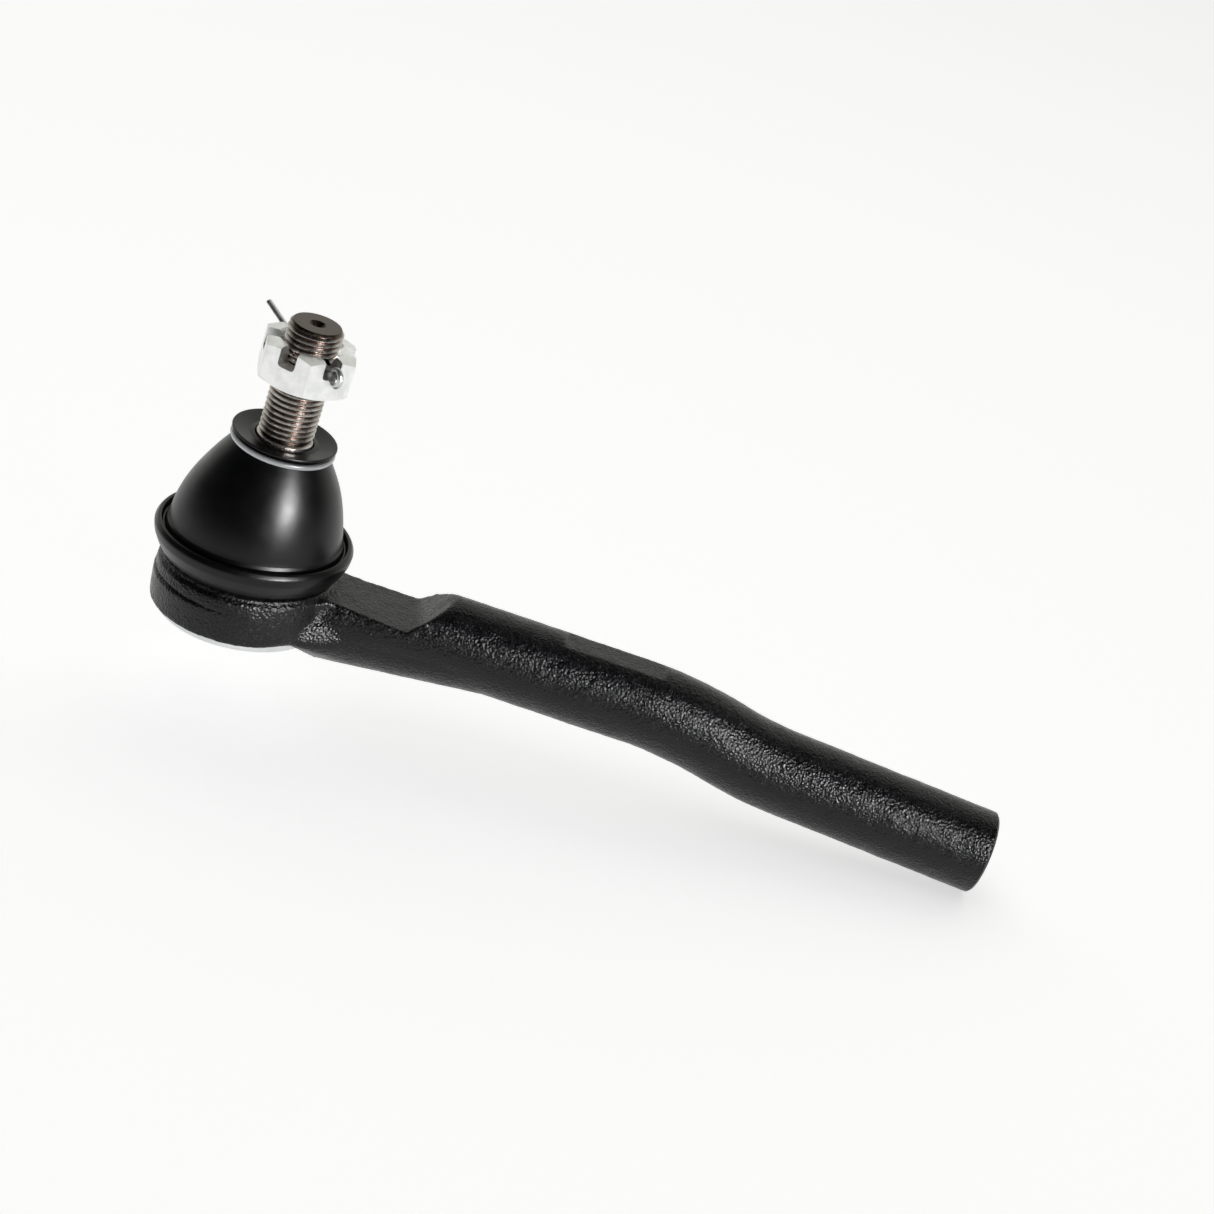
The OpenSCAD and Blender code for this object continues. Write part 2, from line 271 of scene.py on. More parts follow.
def lathe(name, outline, place=None, spokes=SPOKES):
    """A solid of revolution about Z from a closed outline of (r, z) points."""
    points, rings = [], []
    for r, z in outline:
        first = len(points)
        if r < 1e-6:
            points.append((0, 0, z))
        else:
            turns = [TAU * k / spokes for k in range(spokes)]
            points += [(r * math.cos(t), r * math.sin(t), z) for t in turns]
        rings.append(list(range(first, len(points))))
    faces = []
    for a, b in zip(rings, rings[1:] + rings[:1]):
        if len(a) > 1 or len(b) > 1:
            faces += ring_faces(a, b)
    return make(name, points, faces, place)


def prism_faces(count):
    """Faces of a prism whose two ends have count points each, one end after the other."""
    faces = [list(range(count)), list(range(count, 2 * count))]
    for k in range(count):
        n = (k + 1) % count
        faces.append([k, n, count + n, count + k])
    return faces


def prism(name, outline, low, high, place=None):
    """A straight prism along Z on an outline of (x, y) points."""
    points = [(x, y, z) for z in (low, high) for x, y in outline]
    return make(name, points, prism_faces(len(outline)), place)


# One pitch of a thread, as (share of the pitch, share of the thread's depth).
THREAD_ROWS = (
    (0.0, 0.06), (0.05, 0.0), (0.17, 0.0), (0.22, 0.06),
    (0.54, 0.92), (0.58, 1.0), (0.64, 1.0), (0.68, 0.92),
)


def screw(name, core_r, crest_r, pitch, start, end, place, spokes=72):
    """A right-hand screw about Z, as one closed solid a little longer than start to end."""
    per_turn = len(THREAD_ROWS)
    rows = per_turn * (math.ceil((end - start) / pitch) + 2)
    points = []
    for i in range(rows + 1):
        share, height = THREAD_ROWS[i % per_turn]
        z = start + pitch * (i // per_turn - 1 + share)
        r = core_r + (crest_r - core_r) * height
        for k in range(spokes):
            turn = TAU * k / spokes
            points.append((r * math.cos(turn), r * math.sin(turn), z + pitch * k / spokes))
    last = spokes - 1
    faces = []
    for i in range(rows):
        for k in range(last):
            a = i * spokes + k
            faces.append([a, a + 1, a + spokes + 1, a + spokes])
        if i + per_turn < rows:
            a, b = i * spokes + last, (i + per_turn) * spokes
            faces.append([a, b, b + spokes, a + spokes])
    bottom = list(range(spokes)) + [i * spokes for i in range(per_turn, 0, -1)]
    top_row = rows * spokes
    top = [top_row + k for k in range(spokes)]
    top += [i * spokes + last for i in range(rows - 1, rows - per_turn - 1, -1)]
    for loop, height in ((bottom, points[0][2]), (top, points[-1][2])):
        points.append((0, 0, height))
        hub = len(points) - 1
        for a, b in zip(loop, loop[1:] + loop[:1]):
            faces.append([hub, a, b])
    return make(name, points, faces, place)


def sweep(name, path, section, upright, place=None, closed=False):
    """A solid swept along path; section is (across, up) points and upright the rough up."""
    path = [Vector(p) for p in path]
    count, sides = len(path), len(section)
    points = []
    up = Vector(upright)
    for i, here in enumerate(path):
        ahead = path[(i + 1) % count] if closed or i + 1 < count else here
        back = path[i - 1] if closed or i else here
        along = (ahead - back).normalized()
        up = (up - along * up.dot(along)).normalized()
        across = along.cross(up)
        points += [here + across * a + up * b for a, b in section]
    faces = []
    for i in range(count if closed else count - 1):
        n = (i + 1) % count
        for k in range(sides):
            m = (k + 1) % sides
            faces.append([i * sides + k, i * sides + m, n * sides + m, n * sides + k])
    if not closed:
        faces += [list(range(sides)), list(range((count - 1) * sides, count * sides))]
    return make(name, points, faces, place)


def circle(radius, sides):
    turns = [TAU * k / sides for k in range(sides)]
    return [(radius * math.cos(t), radius * math.sin(t)) for t in turns]


# Materials ------------------------------------------------------------------------------------


class Nodes:
    """A small helper that adds nodes to a material and links them."""

    def __init__(self, name, **sockets):
        self.material = bpy.data.materials.new(name)
        self.material.use_nodes = True
        self.tree = self.material.node_tree
        self.shader = self.tree.nodes["Principled BSDF"]
        for key, value in sockets.items():
            self.shader.inputs[key.replace("_", " ")].default_value = value
        self.place = self.add("ShaderNodeTexCoord").outputs["Object"]
        self.bump_out = None

    def add(self, kind, **inputs):
        node = self.tree.nodes.new(kind)
        for key, value in inputs.items():
            node.inputs[key.replace("_", " ")].default_value = value
        return node

    def link(self, output, node, key):
        self.tree.links.new(output, node.inputs[key])

    def noise(self, size_mm, detail=4.0, roughness=0.55, stretch=None):
        """Noise whose lumps are about size_mm across."""
        node = self.add("ShaderNodeTexNoise", Scale=1 / (size_mm * MM), Detail=detail)
        node.inputs["Roughness"].default_value = roughness
        source = self.place
        if stretch:
            mapping = self.add("ShaderNodeMapping", Scale=stretch)
            self.link(source, mapping, "Vector")
            source = mapping.outputs["Vector"]
        self.link(source, node, "Vector")
        return node.outputs["Fac"]

    def cells(self, size_mm):
        node = self.add("ShaderNodeTexVoronoi", Scale=1 / (size_mm * MM), Randomness=1.0)
        self.link(self.place, node, "Vector")
        return node.outputs["Distance"]

    def ramp(self, value, stops):
        node = self.add("ShaderNodeValToRGB")
        elements = node.color_ramp.elements
        while len(elements) < len(stops):
            elements.new(0.5)
        for element, (position, colour) in zip(elements, stops):
            element.position = position
            element.color = (*colour, 1)
        self.link(value, node, "Fac")
        return node.outputs["Color"]

    def span(self, value, low, high, start=0.3, end=0.7):
        """value's start to end, mapped to low to high."""
        node = self.add("ShaderNodeMapRange", From_Min=start, From_Max=end, To_Min=low, To_Max=high)
        self.link(value, node, "Value")
        return node.outputs["Result"]

    def mix(self, factor, a, b):
        node = self.tree.nodes.new("ShaderNodeMix")
        node.data_type = "RGBA"
        self.tree.links.new(factor, node.inputs["Factor"])
        for value, socket in ((a, node.inputs[6]), (b, node.inputs[7])):
            if isinstance(value, tuple):
                socket.default_value = (*value, 1)
            else:
                self.tree.links.new(value, socket)
        return node.outputs[2]

    def bump(self, height, depth_mm, strength=1.0):
        """Adds a bump of that depth on top of the bumps made before it."""
        node = self.add("ShaderNodeBump", Strength=strength, Distance=depth_mm * MM)
        self.link(height, node, "Height")
        if self.bump_out is not None:
            self.link(self.bump_out, node, "Normal")
        self.bump_out = node.outputs["Normal"]
        self.tree.links.new(self.bump_out, self.shader.inputs["Normal"])

    def set(self, key, output):
        self.tree.links.new(output, self.shader.inputs[key])

    def colour(self, value, dark, light, start=0.3, end=0.7):
        """Base colour: dark at value's start, light at its end."""
        self.set("Base Color", self.ramp(value, ((start, dark), (end, light))))


def forged_paint():
    n = Nodes("forged_paint", Metallic=0.0, IOR=1.38)
    n.colour(n.noise(5), (0.003, 0.003, 0.005), (0.006, 0.006, 0.008), start=0.35)
    n.set("Roughness", n.span(n.noise(1.2), 0.20, 0.36))
    n.bump(n.noise(2.4, detail=2), 0.06)
    n.bump(n.cells(0.55), 0.14)
    n.bump(n.noise(0.32, detail=3, roughness=0.7), 0.06)
    return n.material


def boot_rubber():
    n = Nodes("boot_rubber", Metallic=0.0, IOR=1.34)
    n.colour(n.noise(9), (0.002, 0.002, 0.0025), (0.0045, 0.0045, 0.0045))
    n.set("Roughness", n.span(n.noise(4), 0.29, 0.35))
    n.bump(n.noise(0.35, detail=3), 0.012)
    n.bump(n.noise(7, detail=2), 0.05)
    return n.material


def stud_steel():
    """Steel with a light brown film; its colour is painted much darker down in the thread's grooves,
    which is painted shade.
    """
    n = Nodes("stud_steel", Metallic=1.0)
    on_axis = n.add("ShaderNodeMapping", Location=BALL_CENTRE * MM, Rotation=(0, LEAN, 0))
    on_axis.vector_type = "TEXTURE"
    n.link(n.place, on_axis, "Vector")
    flat = n.add("ShaderNodeVectorMath")
    flat.operation = "MULTIPLY"
    flat.inputs[1].default_value = (1, 1, 0)
    n.link(on_axis.outputs["Vector"], flat, 0)
    radius = n.add("ShaderNodeVectorMath")
    radius.operation = "LENGTH"
    n.link(flat.outputs["Vector"], radius, 0)
    groove_r, crest_r = (STUD_CORE_R + 0.1) * MM, (STUD_THREAD_R - 0.1) * MM
    height = n.span(radius.outputs["Value"], 0, 1, groove_r, crest_r)
    # Painted shade: the thread's grooves take this dark brown colour, and the crests take the lighter
    # steel colour.
    film_and_groove_shade = (0.075, 0.055, 0.045)
    bright = n.ramp(n.noise(2.2, detail=5), ((0.32, (0.42, 0.37, 0.34)), (0.7, (0.70, 0.67, 0.64))))
    n.set("Base Color", n.mix(height, film_and_groove_shade, bright))
    n.set("Roughness", n.span(n.noise(0.9), 0.22, 0.34))
    n.bump(n.noise(0.18, detail=2, stretch=(0.2, 0.2, 3)), 0.008)
    return n.material


def zinc_plate():
    n = Nodes("zinc_plate", Metallic=1.0)
    n.colour(n.noise(3), (0.78, 0.79, 0.78), (0.92, 0.925, 0.91), start=0.35, end=0.65)
    n.set("Roughness", n.span(n.noise(1.1), 0.3, 0.42))
    n.bump(n.noise(0.3, detail=3), 0.02)
    n.bump(n.noise(1.4, detail=2), 0.03)
    return n.material


def plated_cover():
    n = Nodes("plated_cover", Metallic=1.0)
    n.colour(n.noise(6), (0.62, 0.63, 0.64), (0.75, 0.76, 0.76), start=0.35, end=0.65)
    n.set("Roughness", n.span(n.noise(1.8), 0.26, 0.38))
    n.bump(n.noise(0.5, detail=3), 0.015)
    return n.material


def pale_ring():
    n = Nodes("pale_ring", Metallic=0.0, IOR=1.5)
    n.colour(n.noise(2), (0.68, 0.70, 0.72), (0.80, 0.81, 0.82))
    n.set("Roughness", n.span(n.noise(1), 0.25, 0.36))
    n.bump(n.noise(0.4), 0.01)
    return n.material


def dark_wire():
    n = Nodes("dark_wire", Metallic=0.0, IOR=1.5)
    n.colour(n.noise(1.5), (0.010, 0.010, 0.011), (0.024, 0.024, 0.026))
    n.set("Roughness", n.span(n.noise(1), 0.3, 0.45))
    n.bump(n.noise(0.3), 0.01)
    return n.material


def pin_wire():
    n = Nodes("pin_wire", Metallic=1.0)
    n.colour(n.noise(1.2), (0.46, 0.47, 0.46), (0.74, 0.75, 0.74))
    n.set("Roughness", n.span(n.noise(0.6), 0.28, 0.42))
    n.bump(n.noise(0.2, detail=2), 0.012)
    return n.material


def spring_steel():
    n = Nodes("spring_steel", Metallic=1.0)
    n.colour(n.noise(1.5), (0.20, 0.21, 0.23), (0.34, 0.35, 0.37))
    n.set("Roughness", n.span(n.noise(0.8), 0.22, 0.36))
    n.bump(n.noise(0.3), 0.01)
    return n.material


def seat_plastic():
    n = Nodes("seat_plastic", Metallic=0.0, IOR=1.48)
    n.colour(n.noise(4), (0.74, 0.71, 0.62), (0.82, 0.80, 0.73))
    n.set("Roughness", n.span(n.noise(1.5), 0.38, 0.5))
    n.bump(n.noise(0.4), 0.01)
    return n.material


def dress(obj, body, material, slot, *nodes):
    """Gives a finished piece its material and its body, and hides the CAD nodes that it stands for."""
    obj.data.materials.clear()
    obj.data.materials.append(material)
    if body:
        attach(obj, body)
    if nodes:
        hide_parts(*nodes)
    return obj


# Housing --------------------------------------------------------------------------------------


def heading(slope):
    """The bar's direction, as (x, z), where it slopes down by slope."""
    return np.array((math.cos(slope), -math.sin(slope)))


def bend_points(here, slope, bend, turns):
    """Points of the bend that starts at here, where the bar's slope is each of turns."""
    radius = math.copysign(BEND_R, bend)
    middle = here - radius * np.array((math.sin(slope), math.cos(slope)))
    return [middle + radius * np.array((math.sin(t), math.cos(t))) for t in turns]


def bar_stops():
    """Where each straight stretch of the bar starts, and its slope; last, the tube's end."""
    here, slope = np.array((0.0, BAR_START_Z)), BAR_START_SLOPE
    stops = [(here, slope)]
    for i, length in enumerate(BAR_STRAIGHTS):
        here = here + length * heading(slope)
        if i < len(BAR_BENDS):
            end_slope = slope + BAR_BENDS[i]
            (here,) = bend_points(here, slope, BAR_BENDS[i], [end_slope])
            slope = end_slope
        stops.append((here, slope))
    return stops


def bar_path(step=0.7, overshoot=2):
    """The bar's centre line, from the head's axis to a little past the tube's end."""
    path = []
    stops = bar_stops()
    for i, (here, slope) in enumerate(stops[:-1]):
        ahead = heading(slope)
        path += [here + ahead * t for t in np.arange(0, BAR_STRAIGHTS[i] - step / 2, step)]
        if i < len(BAR_BENDS):
            bend = BAR_BENDS[i]
            turns = slope + np.linspace(0, bend, int(BEND_R * abs(bend) / step), endpoint=False)
            path += bend_points(here + ahead * BAR_STRAIGHTS[i], slope, bend, turns)
    end, slope = stops[-1]
    path.append(end + overshoot * heading(slope))
    return [(x, 0, z) for x, z in path]


def flat_top(x):
    """Height of the arm's flat and of the ramp behind it, and far up beyond the ramp."""
    if x < FLAT_END_X:
        return FLAT_Z - FLAT_SLOPE * x
    if x < RAMP_END_X:
        rise = RAMP_RISE * (x - FLAT_END_X) / (RAMP_END_X - FLAT_END_X)
        return FLAT_Z - FLAT_SLOPE * FLAT_END_X + rise
    return 1e3


def under_flats(obj):
    """Presses the bar's top down to the arm's flat, the ramp and the flat on the crown."""
    (start_x, start_z), slope = bar_stops()[1]
    start = Vector((start_x, 0, start_z))
    along = Vector((math.cos(slope), 0, -math.sin(slope)))
    up = Vector((math.sin(slope), 0, math.cos(slope)))
    for v in obj.data.vertices:
        v.co.z = min(v.co.z, flat_top(v.co.x))
        reach = (v.co - start).dot(along)
        height = (v.co - start).dot(up)
        if CROWN_FLAT[0] < reach < CROWN_FLAT[1] and height > CROWN_FLAT_H:
            v.co -= up * (height - CROWN_FLAT_H)


def arm_block():
    """The squared upper half of the arm, under its flat."""
    end = FLAT_END_X + 4
    xs = np.linspace(0, end, 60)
    side = [(x, flat_top(x)) for x in xs] + [(end, BAR_START_Z + 1), (0, BAR_START_Z + 1)]
    points = [(x, y, z) for y in (-ARM_W / 2, ARM_W / 2) for x, z in side]
    return make("arm_block", points, prism_faces(len(side)))


def arm_roots():
    """The two concave roots that widen the arm where it leaves the head."""
    root_r = 7
    root_y = ARM_W / 2 + root_r - 0.1
    root_x = math.sqrt((HEAD_R - 0.3 + root_r) ** 2 - root_y**2)
    outline = [(0, 0)]
    for side in (-1, 1):
        start = math.atan2(-side * root_y, -root_x)
        end = -side * math.pi / 2
        sweep_by = (start - end + math.pi) % TAU - math.pi
        turns = [end + sweep_by * t for t in np.linspace(0, 1, 16)]
        arc = [(root_x + root_r * math.cos(t), side * root_y + root_r * math.sin(t)) for t in turns]
        outline += arc[::-1] if side < 0 else arc
    return prism("arm_roots", outline, HEAD_BASE_Z + 0.4, FLAT_Z - FLAT_SLOPE * root_x)


def keel_z(x):
    """Height of the middle of the keel, the slimmer bar under the arm."""
    return KEEL_START_Z + KEEL_RISE * x


def arm_keel():
    """The keel, which rises more slowly than the bar and ends inside it."""
    path = [(x, 0, keel_z(x)) for x in np.linspace(*KEEL_X, 30)]
    return sweep("arm_keel", path, circle(KEEL_R, 96), (0, 0, 1))


def arm_web():
    """The web under the roots, from the head's lower rim out to the keel."""
    rim_sweep, rim_r, rim_h = math.radians(44), HEAD_R - 0.3, 1
    keel_from, keel_to, sides = 10, 26, 24
    flare, flare_z = ((16, 11.2), (24, 8.3)), 9.5
    bm = bmesh.new()
    for turn in np.linspace(-rim_sweep, rim_sweep, sides):
        for z in (HEAD_BASE_Z, HEAD_BASE_Z + rim_h):
            bm.verts.new((rim_r * math.cos(turn), rim_r * math.sin(turn), z))
    for x in (keel_from, keel_to):
        for turn in np.linspace(-math.pi, 0, sides):
            bm.verts.new((x, KEEL_R * math.cos(turn), keel_z(x) + KEEL_R * math.sin(turn)))
    for x, y in flare:
        for side in (-1, 1):
            bm.verts.new((x, side * y, flare_z))
    bmesh.ops.convex_hull(bm, input=bm.verts)
    loose = [v for v in bm.verts if not v.link_faces]
    bmesh.ops.delete(bm, geom=loose, context="VERTS")
    bm.verts.index_update()
    points = [v.co.copy() for v in bm.verts]
    faces = [[v.index for v in face.verts] for face in bm.faces]
    bm.free()
    return make("arm_web", points, faces)


def joined(name, pieces):
    """One object that holds the meshes of several, which are removed."""
    bm = bmesh.new()
    for piece in pieces:
        bm.from_mesh(piece.data)
        bpy.data.objects.remove(piece)
    mesh = bpy.data.meshes.new(name)
    bm.to_mesh(mesh)
    bm.free()
    return in_scene(name, mesh)


def smoothed(obj, passes, weight=None):
    """Smooths the mesh; weight gives each point's share of it."""
    step = obj.modifiers.new("smooth", "SMOOTH")
    step.factor = 0.5
    step.iterations = passes
    if weight:
        group = obj.vertex_groups.new(name="smooth")
        for v in obj.data.vertices:
            group.add([v.index], weight(v.co), "REPLACE")
        step.vertex_group = "smooth"
    bake(obj)
    obj.vertex_groups.clear()
    return obj


def falloff(value, start, end):
    """1 before start, 0 after end, and smooth between them."""
    t = min(1, max(0, (value - start) / (end - start)))
    return 1 - t * t * (3 - 2 * t)


def root_share(point):
    """How much a point takes of the extra smoothing round the arm's roots."""
    root_x = 20
    return falloff(abs(point.x - root_x), 7, 13) * falloff(point.z, 10.5, 13.5)


def forged_relief(obj):
    """The forging's parting step on the head, and the roughness of its whole skin."""
    normals = [v.normal.copy() for v in obj.data.vertices]
    for v, normal in zip(obj.data.vertices, normals):
        rough = 0.05 * noise.noise(v.co * 0.95) + 0.09 * noise.noise(v.co * 0.23)
        v.co += normal * rough
        r = math.hypot(v.co.x, v.co.y)
        s = v.co.z - BALL_CENTRE.z
        if HEAD_R - 1.5 < r < HEAD_R + 1.5 and v.co.x < 14:
            share = falloff(v.co.x, -14, 6)
            groove = -0.40 * math.exp(-(((s - PARTING_S) / 0.34) ** 2))
            ledge = 0.16 * falloff(s, PARTING_S - 0.6, PARTING_S)
            v.co.x += v.co.x / r * share * (groove + ledge)
            v.co.y += v.co.y / r * share * (groove + ledge)


def housing_skin():
    """The forging before machining: head, arm and bar in one smooth skin."""
    head_outline = rounded([
        (0, -HEAD_BELOW - RIM_LIP, 0), (HEAD_R - 0.1, -HEAD_BELOW - RIM_LIP, 0.3),
        (HEAD_R, -HEAD_BELOW + 2.5, 2),
        (HEAD_R, -6.2, 3), (HEAD_R - 0.35, -3.4, 0.8), (NECK_R, -2.8, 0.3), (NECK_R, 2.4, 0.3),
        (NECK_R - 1.2, 2.8, 0.3), (NECK_R - 1.2, HEAD_ABOVE - 2.5, 0.4),
        (NECK_R - 3.2, HEAD_ABOVE, 0.4), (0, HEAD_ABOVE, 0),
    ], closed=False)
    head = lathe("head", head_outline, ON_BALL)
    bar = sweep("bar", bar_path(), circle(BAR_R, 96), (0, 0, 1))
    keel = arm_keel()
    under_flats(bar)
    under_flats(keel)
    skin = joined("housing", [head, bar, keel, arm_block(), arm_roots(), arm_web()])
    step = skin.modifiers.new("skin", "REMESH")
    step.mode = "VOXEL"
    step.voxel_size = 0.34
    bake(skin)
    smoothed(skin, 4)
    smoothed(skin, 60, root_share)
    return skin


def housing():
    """The forging with its cover recess, ball chamber and threaded tube cut into it."""
    skin = housing_skin()
    forged_relief(skin)
    far, recess_s = 60, -HEAD_BELOW
    recess = [(0, -far), (COVER_RECESS_R, -far), (COVER_RECESS_R, recess_s), (0, recess_s)]
    combine(skin, lathe("recess", recess, ON_BALL))
    bore = rounded([
        (0, -20, 0), (CHAMBER_R + 1.6, -20, 0), (CHAMBER_R + 1.6, -HEAD_BELOW + 2.4, 0),
        (CHAMBER_R, -HEAD_BELOW + 2.4, 0), (CHAMBER_R, 1.5, 0), (MOUTH_R, BALL_R / 2, 0),
        (MOUTH_R, HEAD_ABOVE - 0.9, 0.3), (MOUTH_R + 1, HEAD_ABOVE + 0.01, 0),
        (MOUTH_R + 1, 30, 0), (0, 30, 0),
    ])
    combine(skin, lathe("bore", bore, ON_BALL))
    edge, chamfer = BAR_R + 4, 0.5
    end = [
        (0, 0), (BAR_R - chamfer, 0), (BAR_R + 1, -1 - chamfer), (edge, -1 - chamfer),
        (edge, 8), (0, 8),
    ]
    combine(skin, lathe("end_cut", end, ON_TUBE))
    mouth_r = TUBE_THREAD_R + 0.3
    mouth = [
        (0, -MOUTH_CHAMFER - 1), (mouth_r - 2, -MOUTH_CHAMFER - 1), (mouth_r, 0),
        (mouth_r + 0.5, 0.5), (0, 0.5),
    ]
    thread = screw("thread", TUBE_CORE_R, TUBE_THREAD_R, TUBE_PITCH, -TUBE_DEPTH + 3, -1, ON_TUBE)
    drill_r = TUBE_CORE_R - 0.02
    drill = [(0, -TUBE_DEPTH - 3), (drill_r, -TUBE_DEPTH), (drill_r, 1), (0, 1)]
    combine(skin, thread)
    combine(skin, lathe("drill", drill, ON_TUBE))
    combine(skin, lathe("mouth", mouth, ON_TUBE))
    return settle(skin, 40)


# Boot -----------------------------------------------------------------------------------------


def dome_r(s):
    """Radius of the dome's outside at height s."""
    share = max(0, (s - DOME_FROM) / (DOME_TO - DOME_FROM))
    return 19 - 1.9 * share - 6.8 * share**2


def lean_share(s):
    """The share of the stud's lean that the boot has taken up at height s."""
    share = min(1, max(0, (s - DOME_FROM) / (LEAN_TO - DOME_FROM)))
    return share * share * (3 - 2 * share)


def boot_outline():
    """The boot's closed outline, and where it is cut: outside and inside row numbers."""
    grip = 0.15
    groove_in, groove_out = GROOVE_R - GROOVE_W / 2, GROOVE_R + GROOVE_W / 2
    foot = rounded([
        (NECK_R + grip, -1.2, 0.3), (19.4, -1.1, 0.5), (20.5, 0.6, 2), (SKIRT_R - 0.25, 2.7, 3),
        (SKIRT_R, 4.4, 1.2), (SKIRT_R - 0.7, 5.5, 0.6), (groove_out, 5.45, 0.3),
        (groove_out, GROOVE_S, 0.2), (groove_in, GROOVE_S, 0.2), (groove_in + 0.05, 5.5, 0.3),
        (dome_r(6.3) + 0.1, 6.1, 1.2), (dome_r(7), 7, 0),
    ], closed=False, steps=6)
    wall = [np.array((dome_r(s), s)) for s in np.arange(7.4, DOME_TO - 0.3, 0.4)]
    collar = rounded([
        (dome_r(DOME_TO - 0.2), DOME_TO - 0.2, 0), (10.15, DOME_TO + 0.15, 0.25),
        (10.15, DOME_TO + 1.5, 0.3), (11.1, DOME_TO + 1.95, 0.5), (11.55, DOME_TO + 2.35, 0.25),
        (11.4, DOME_TO + 2.75, 0.2), (10.6, DOME_TO + 2.6, 1), (7.6, DOME_TO + 1.9, 1),
        (6.45, DOME_TO + 2.15, 0.3), (6.35, DOME_TO + 1.2, 0.3), (6.6, DOME_TO - 1, 0.8),
        (7.6, DOME_TO - 1.5, 0.8), (dome_r(DOME_TO - 2.4) - BOOT_WALL, DOME_TO - 2.6, 0),
    ], closed=False, steps=6)
    inside = [
        np.array((dome_r(s) - BOOT_WALL, s))
        for s in np.arange(DOME_TO - 2.8, DOME_FROM + 2.4, -0.4)
    ]
    ankle = rounded([
        (NECK_R - 1.2 + grip, DOME_FROM + 1.2, 0), (NECK_R - 1.2 + grip, DOME_FROM, 0),
        (NECK_R - 1.2 + grip, 3, 0.2), (NECK_R + grip, 2.6, 0.2), (NECK_R + grip, 0, 0),
        (NECK_R + grip, -2.3, 0),
    ], closed=False)
    outline = foot + wall + collar + inside + ankle
    outer_cut = len(foot) + int(np.argmin([abs(p[1] - BOOT_CUT) for p in wall]))
    inner_first = len(foot) + len(wall) + len(collar)
    inner_cut = inner_first + int(np.argmin([abs(p[1] - BOOT_CUT) for p in inside]))
    return outline, outer_cut, inner_cut


def leaned_ring(r, s):
    """A ring of the boot, which takes up more of the stud's lean the higher it lies."""
    angle = LEAN * lean_share(s)
    ring = []
    for k in range(SPOKES):
        turn = TAU * k / SPOKES
        x = r * math.cos(turn)
        ring.append((
            x * math.cos(angle) + s * math.sin(angle),
            r * math.sin(turn),
            s * math.cos(angle) - x * math.sin(angle),
        ))
    return ring


def boot_mesh(name, rings, place=None):
    """A closed skin through the rings, from the last of them back to the first."""
    points = [p for ring in rings for p in ring]
    rows = [list(range(i * SPOKES, (i + 1) * SPOKES)) for i in range(len(rings))]
    faces = [f for a, b in zip(rows, rows[1:] + rows[:1]) for f in ring_faces(a, b)]
    return make(name, points, faces, place)


def boot_half(name, rows, rings, normals):
    """The boot's rows of those numbers, with the smooth normals of the whole boot."""
    obj = settle(boot_mesh(name, [rings[i] for i in rows], ON_BALL), 0)
    obj.data.normals_split_custom_set_from_vertices([n for i in rows for n in normals[i]])
    return obj


def boot():
    """The boot in two halves that meet at mid height."""
    outline, outer_cut, inner_cut = boot_outline()
    rings = [leaned_ring(r, s) for r, s in outline]
    whole = boot_mesh("whole_boot", rings)
    normals = [tuple(v.normal) for v in whole.data.vertices]
    normals = [normals[i * SPOKES:(i + 1) * SPOKES] for i in range(len(rings))]
    bpy.data.objects.remove(whole)
    low_rows = list(range(outer_cut + 1)) + list(range(inner_cut, len(rings)))
    high_rows = list(range(outer_cut, inner_cut + 1))
    low = boot_half("dust_boot_lower", low_rows, rings, normals)
    high = boot_half("dust_boot_upper", high_rows, rings, normals)
    rubber = boot_rubber()
    for half in (low, high):
        dress(half, None, rubber, "boot_rubber", "dust_boot")

    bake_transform(low)
    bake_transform(high)


def wire_ring(name, ring_r, wire_r, s, place):
    """A closed ring of round wire at height s."""
    path = [(x, y, s) for x, y in circle(ring_r, 180)]
    return settle(sweep(name, path, circle(wire_r, 20), (0, 0, 1), place, closed=True), 0)


# Stud, nut and cotter pin ---------------------------------------------------------------------


def ball_stud():
    """Ball, neck, taper and thread in one piece, with the pin's hole and a centre mark."""
    ball = [
        (BALL_R * math.cos(t), BALL_R * math.sin(t))
        for t in np.radians(np.linspace(-59.7, 58, 50))
    ]
    (wide_r, wide_s), (narrow_r, narrow_s) = TAPER
    shank = rounded([
        (STUD_NECK_R, 10.4, 1.2), (STUD_NECK_R, 12.2, 2), (wide_r - 0.15, wide_s - 0.3, 0.2),
        (wide_r, wide_s, 0.2), (narrow_r, narrow_s, 0.1), (STUD_CORE_R, narrow_s + 0.4, 0.1),
        (STUD_CORE_R, THREAD_START + 0.6, 0), (STUD_CORE_R - 0.3, THREAD_START + 1, 0),
    ], closed=False)
    low = [(0, ball[0][1])]
    body = lathe("ball_stud", low + ball + shank + [(0, THREAD_START + 1)], ON_STUD)
    thread = screw(
        "thread", STUD_CORE_R, STUD_THREAD_R, STUD_PITCH, THREAD_START, STUD_TOP, ON_STUD, 96
    )
    trim = lathe("trim", [
        (0, THREAD_START - 0.6), (STUD_CORE_R + 0.02, THREAD_START - 0.6),
        (STUD_THREAD_R + 0.2, THREAD_START + 0.5), (STUD_THREAD_R + 0.2, STUD_TOP - 1.1),
        (STUD_CORE_R - 0.1, STUD_TOP), (0, STUD_TOP),
    ], ON_STUD)
    combine(thread, trim, "INTERSECT")
    combine(body, thread, "UNION")
    across = ON_STUD @ Matrix.Translation((0, 0, PIN_HEIGHT)) @ Matrix.Rotation(PIN_TURN, 4, "Z")
    reach = 10
    hole = [(0, -reach), (PIN_HOLE_R, -reach), (PIN_HOLE_R, reach), (0, reach)]
    combine(body, lathe("hole", hole, across @ Matrix.Rotation(math.pi / 2, 4, "Y"), 48))
    above = STUD_TOP + 0.1
    centre = [(0, STUD_TOP - 1.9), (0.5, STUD_TOP - 1.5), (1.9, above), (0, above)]
    combine(body, lathe("centre", centre, ON_STUD, 48))
    return settle(body, 40)


